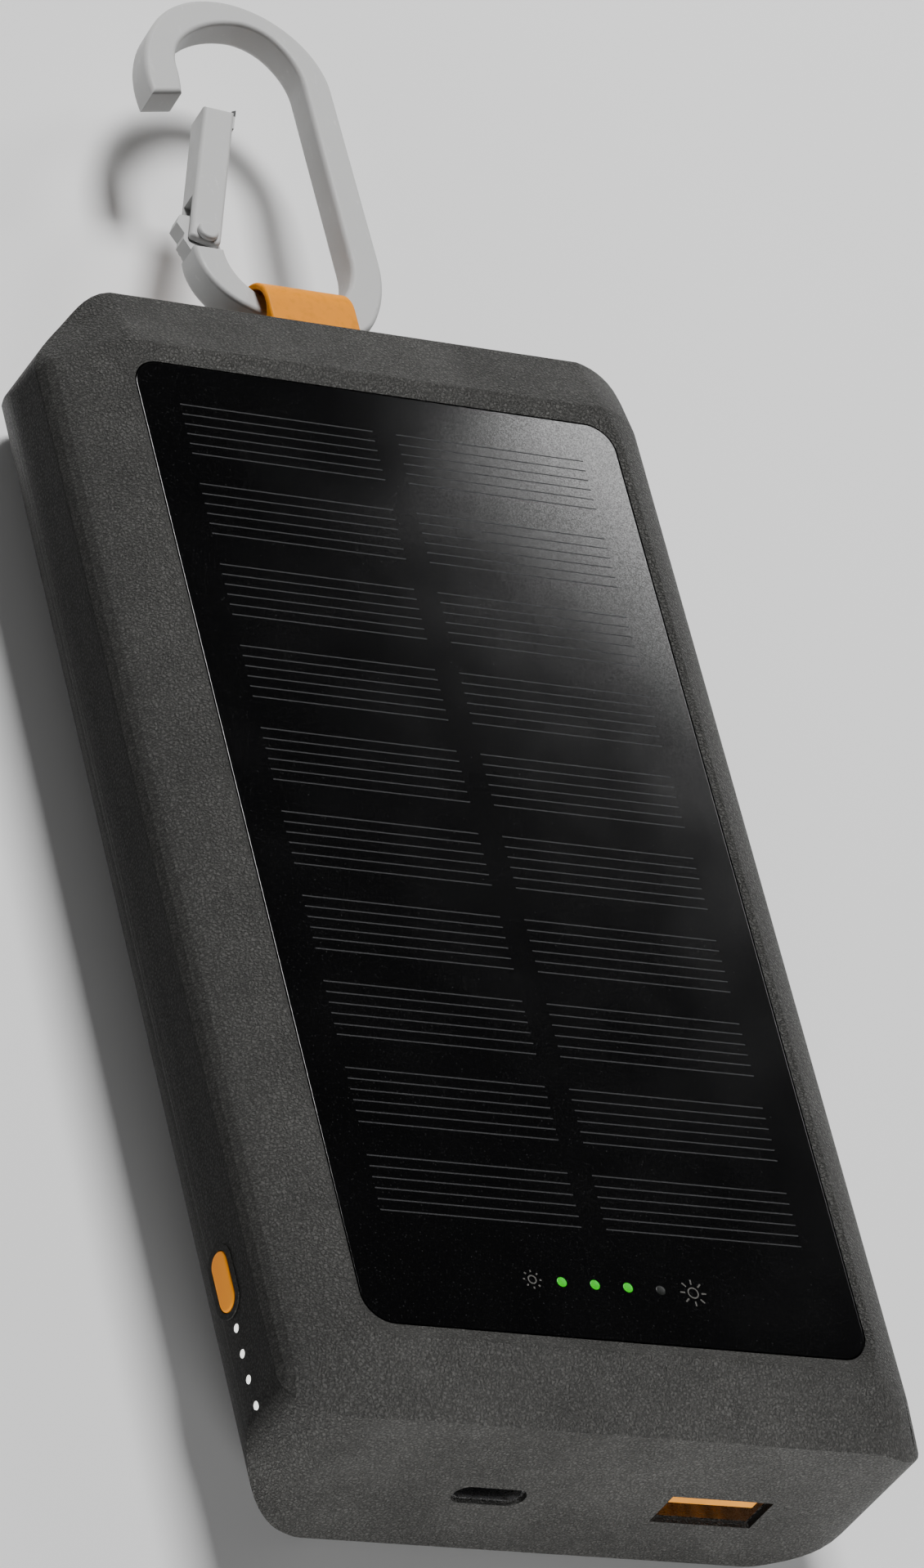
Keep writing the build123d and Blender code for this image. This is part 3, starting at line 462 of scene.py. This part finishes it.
def mark_soft_edges(shape, angle):
    """Marks the sharp edges to be broken; those around the panel stay crisp."""
    weights = shape.edges.layers.float.new("bevel_weight_edge")
    for edge in shape.edges:
        middle = (edge.verts[0].co + edge.verts[1].co) / 2
        by_panel = abs(middle.x) < PANEL_OPENING[0] and abs(middle.y) < PANEL_OPENING[1]
        if not edge.is_manifold or edge.calc_face_angle() < angle:
            continue
        if by_panel:
            edge.smooth = False
        else:
            edge[weights] = 1.0


def softened(node, width_mm, body, material, angle=24.0):
    """Stands for a CAD node: the same shape, with its sharp edges broken."""
    source = nodes[node]
    mesh = source.data.copy()
    piece = bpy.data.objects.new(node + "_soft", mesh)
    bpy.context.collection.objects.link(piece)
    shape = bmesh.new()
    shape.from_mesh(mesh)
    bmesh.ops.remove_doubles(shape, verts=shape.verts, dist=1e-7)
    bmesh.ops.dissolve_limit(shape, angle_limit=math.radians(1.0), verts=shape.verts, edges=shape.edges)
    shape_corners(shape)
    mark_soft_edges(shape, math.radians(angle))
    shape.to_mesh(mesh)
    shape.free()
    if "custom_normal" in mesh.attributes:
        mesh.attributes.remove(mesh.attributes["custom_normal"])
    mesh.shade_smooth()
    bevel = piece.modifiers.new("edges", "BEVEL")
    bevel.width = width_mm * MM
    bevel.segments = 3
    bevel.limit_method = "WEIGHT"
    bevel.use_clamp_overlap = True
    normals = piece.modifiers.new("normals", "WEIGHTED_NORMAL")
    normals.keep_sharp = True
    paint(piece, material)
    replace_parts(piece, node)
    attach(piece, body)


# ---------------------------------------------------------------- pieces
for node_name, material_name in NODE_MATERIALS.items():
    paint(nodes[node_name], material_name)

PANEL_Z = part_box("solar_cover")[1][2]
INDICATOR_Y = -55.6 * MM
INDICATOR_ROW_X = 0.3
INDICATOR_PITCH = 4.16
INDICATOR_X = [(INDICATOR_ROW_X + INDICATOR_PITCH * (index - 1.5)) * MM for index in range(4)]
LENS_RADIUS, LENS_HEIGHT = 0.6 * MM, 0.04 * MM
PRINT_HEIGHT = 0.02 * MM
RING_LINE = 0.15
RAY_WIDTH = 0.18 * MM


def skin(shape, loops):
    """Faces between each closed loop of points and the next one."""
    for lower, upper in zip(loops, loops[1:]):
        for step in range(len(lower)):
            after = (step + 1) % len(lower)
            shape.faces.new((lower[step], lower[after], upper[after], upper[step]))


def around_circle(steps):
    """Unit directions evenly round a circle in x and y."""
    turns = [2 * math.pi * step / steps for step in range(steps)]
    return [Vector((math.cos(turn), math.sin(turn), 0)) for turn in turns]


def slab(shape, outline, low, high, place=Matrix()):
    """A flat piece: an outline in x and y, between two levels."""
    levels = [[shape.verts.new(place @ Vector((x, y, z))) for x, y in outline] for z in (low, high)]
    skin(shape, levels)
    for level in levels:
        shape.faces.new(level)


def dome(shape, centre, radius, height, rings=3, around=24):
    """A low dome standing on a plane z = centre.z."""
    loops = []
    for ring in range(rings):
        angle = math.pi / 2 * ring / rings
        lift = Vector((0, 0, height * math.sin(angle)))
        loops.append([shape.verts.new(centre + way * radius * math.cos(angle) + lift)
                      for way in around_circle(around)])
    skin(shape, loops)
    top = shape.verts.new(centre + Vector((0, 0, height)))
    for step in range(around):
        shape.faces.new((loops[-1][step], loops[-1][(step + 1) % around], top))
    shape.faces.new(loops[0])


def indicator_lens(index):
    """Builder for one indicator lens."""
    centre = Vector((INDICATOR_X[index], INDICATOR_Y, PANEL_Z))
    return lambda shape: dome(shape, centre, LENS_RADIUS, LENS_HEIGHT)


for index in range(4):
    new_piece(f"indicator_lens_{index}", indicator_lens(index),
              "dim_lamp" if index == 3 else "green_lamp", "case")


def flat_ring(shape, centre, inner, outer, around=32):
    """A thin printed ring."""
    rims = []
    for radius, level in ((inner, 0), (outer, 0), (outer, PRINT_HEIGHT), (inner, PRINT_HEIGHT)):
        lift = Vector((0, 0, level))
        rims.append([shape.verts.new(centre + way * radius + lift) for way in around_circle(around)])
    skin(shape, rims + rims[:1])


def ray_bar(shape, centre, out, inner, outer):
    """A thin printed bar, pointing away from a centre."""
    side = Vector((-out.y, out.x, 0)) * RAY_WIDTH / 2
    corners = [centre + out * inner - side, centre + out * outer - side,
               centre + out * outer + side, centre + out * inner + side]
    slab(shape, [(corner.x, corner.y) for corner in corners], centre.z, centre.z + PRINT_HEIGHT)


def sun_symbol(x_mm, ring_mm, ray_mm):
    """Builder for a generic sun: a ring and eight rays."""
    centre = Vector((x_mm * MM, INDICATOR_Y, PANEL_Z))

    def build(shape):
        flat_ring(shape, centre, (ring_mm - RING_LINE) * MM, ring_mm * MM)
        for out in around_circle(8):
            ray_bar(shape, centre, out, ray_mm[0] * MM, ray_mm[1] * MM)
    return build


new_piece("sun_small", sun_symbol(-9.65, 0.55, (0.9, 1.15)), "print", "case")
new_piece("sun_large", sun_symbol(10.65, 0.7, (1.05, 1.65)), "print", "case")

# The gate's own frame, with its origin at the rivet, y up the gate and x towards the loop's inside.
EYE_CENTRE = (0, 80.5 * MM, 16.0 * MM)
CARABINER_DROOP = math.radians(-5.0)
RIVET_FROM_EYE = (-9.8 * MM, 10.68 * MM, 0)
GATE_TURN = math.radians(-19.8)
GATE_FRAME = (Matrix.Translation(EYE_CENTRE) @ Matrix.Rotation(CARABINER_DROOP, 4, "X")
              @ Matrix.Translation(RIVET_FROM_EYE) @ Matrix.Rotation(GATE_TURN, 4, "Z"))
SHADED_LATCH_TIP = [(1.76, 22.9), (2.27, 22.9), (2.27, 24.02), (2.2, 24.02), (1.76, 23.62)]
LATCH_HALF_THICK = 1.42 * MM
COIL_CENTRE = (0.45 * MM, 5.05 * MM, 0)
COIL_RADIUS = 0.69 * MM
COIL_WIRE = 0.14 * MM
COIL_LENGTH = 2.7 * MM
COIL_TURNS = 6


def shaded_latch_tip(shape):
    """The pointed end of the gate's latch, a slab coloured black as painted shade."""
    outline = [(x * MM, y * MM) for x, y in SHADED_LATCH_TIP]
    slab(shape, outline, -LATCH_HALF_THICK, LATCH_HALF_THICK, GATE_FRAME)


def gate_coil(shape, steps=24):
    """The spring that pushes the gate shut: a helix of round wire along the gate."""
    place = GATE_FRAME @ Matrix.Translation(COIL_CENTRE)
    rings = []
    for step in range(COIL_TURNS * steps + 1):
        turn = 2 * math.pi * step / steps
        out = Vector((math.cos(turn), 0, math.sin(turn)))
        middle = out * COIL_RADIUS
        middle.y = COIL_LENGTH * (step / (COIL_TURNS * steps) - 0.5)
        rings.append([shape.verts.new(place @ (middle + (out * way.x + Vector((0, way.y, 0))) * COIL_WIRE))
                      for way in around_circle(10)])
    skin(shape, rings)
    shape.faces.new(rings[0])
    shape.faces.new(rings[-1])


def contacts(places_x, width, span_y, span_z):
    """Builder for a row of plated contacts on a port's tongue, in millimetres."""
    def build(shape):
        for x in places_x:
            left, right = (x - width / 2) * MM, (x + width / 2) * MM
            near, far = span_y[0] * MM, span_y[1] * MM
            slab(shape, [(left, near), (right, near), (right, far), (left, far)],
                 span_z[0] * MM, span_z[1] * MM)
    return build


# Painted shade: a black slab at the gate's tip, where the notch lies in shade.
new_piece("shaded_latch_tip", shaded_latch_tip, "tongue", "gate")
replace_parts(new_piece("gate_coil", gate_coil, "steel", "gate"), "gate_spring")
USB_A_X, USB_C_X = 17.5, -10.7
USB_A_CONTACTS = [USB_A_X + step for step in (-3.5, -1.0, 1.0, 3.5)]
USB_C_CONTACTS = [USB_C_X + 0.5 * (step - 5.5) for step in range(12)]
new_piece("usb_a_contacts", contacts(USB_A_CONTACTS, 1.0, (-71.6, -62.0), (11.38, 11.46)),
          "gold", "case")
new_piece("usb_c_contacts", contacts(USB_C_CONTACTS, 0.26, (-71.4, -68.4), (11.84, 11.88)),
          "gold", "case")

for shell in ("front_shell", "rear_shell"):
    softened(shell, EDGE_SOFTNESS, "case", "case")


# ---------------------------------------------------------------- stage, lights and camera
FLOOR_SIZE = 12.0
FLOOR_GAP = 0.0005


def floor_material():
    """Pale studio floor."""
    shader = Shader("studio_floor", (0.86, 0.86, 0.86), 0.85)
    shader.bump(shader.noise(4.0, 2.0), 0.02, 0.1)
    return shader.material


def stage_floor():
    """A plain flat pale floor, just under the case."""
    bpy.ops.mesh.primitive_grid_add(x_subdivisions=2, y_subdivisions=2, size=FLOOR_SIZE)
    floor = bpy.context.object
    floor.name = "floor"
    floor.location.z = cad_bounds[0][2] - FLOOR_GAP
    floor.data.materials.append(floor_material())


def area_light(name, place, size, power):
    """A soft white light at a place, turned towards the case; all in metres and watts."""
    data = bpy.data.lights.new(name, "AREA")
    data.shape = "RECTANGLE"
    data.size, data.size_y = size
    data.energy = power
    light = bpy.data.objects.new(name, data)
    light.location = place
    light.rotation_euler = (LIGHTS_AIM - Vector(place)).to_track_quat("-Z", "Y").to_euler()
    bpy.context.collection.objects.link(light)


LIGHTS_AIM = Vector((0, 0, 0.02))
WORLD_LEVEL = 0.02
KEY_PLACE, KEY_SIZE, KEY_POWER = (0.06, 0.84, 1.18), (0.45, 0.4), 28.0
FILL_PLACE, FILL_SIZE, FILL_POWER = (-0.1, -1.3, 0.18), (0.6, 0.35), 21.0
SHEEN_AZIMUTH = math.radians(39.5)
SHEEN_DISTANCE = 1.7
SHEEN_SIZE = 0.42
SHEEN_STEPS = ((40.6, 4.1), (41.4, 1.1), (42.1, 0.09))


def sheen_light(name, top_elevation, power):
    """One of the lights seen softly in the panel, with its top edge at an elevation in degrees."""
    elevation = math.radians(top_elevation) - math.atan(SHEEN_SIZE / 2 / SHEEN_DISTANCE)
    out = Vector((math.cos(elevation) * math.cos(SHEEN_AZIMUTH),
                  math.cos(elevation) * math.sin(SHEEN_AZIMUTH), math.sin(elevation)))
    area_light(name, out * SHEEN_DISTANCE, (SHEEN_SIZE, SHEEN_SIZE), power)


def studio_world(level):
    """Even pale surroundings."""
    world = bpy.data.worlds.new("studio")
    world.use_nodes = True
    world.node_tree.nodes["Background"].inputs["Color"].default_value = (1, 1, 1, 1)
    world.node_tree.nodes["Background"].inputs["Strength"].default_value = level
    bpy.context.scene.world = world


CAMERA_PLACE = (-0.49240, -0.48663, 0.67514)
CAMERA_RIGHT = Vector((0.85100, -0.21671, 0.47837))
CAMERA_UP = Vector((-0.10140, 0.82595, 0.55456))
CAMERA_LENS = 198.8


def camera():
    """The photograph's view: long lens, looking down along the case and rolled."""
    data = bpy.data.cameras.new("camera")
    data.lens = CAMERA_LENS
    data.sensor_width = 36.0
    data.clip_start, data.clip_end = 0.05, 50.0
    view = bpy.data.objects.new("camera", data)
    back = CAMERA_RIGHT.cross(CAMERA_UP)
    turn = Matrix((CAMERA_RIGHT, CAMERA_UP, back)).transposed().to_4x4()
    view.matrix_world = Matrix.Translation(CAMERA_PLACE) @ turn
    bpy.context.collection.objects.link(view)
    bpy.context.scene.camera = view


stage_floor()
studio_world(WORLD_LEVEL)
area_light("key", KEY_PLACE, KEY_SIZE, KEY_POWER)
area_light("end_fill", FILL_PLACE, FILL_SIZE, FILL_POWER)
for step, (top_elevation, power) in enumerate(SHEEN_STEPS):
    sheen_light(f"panel_sheen_{step}", top_elevation, power)
camera()
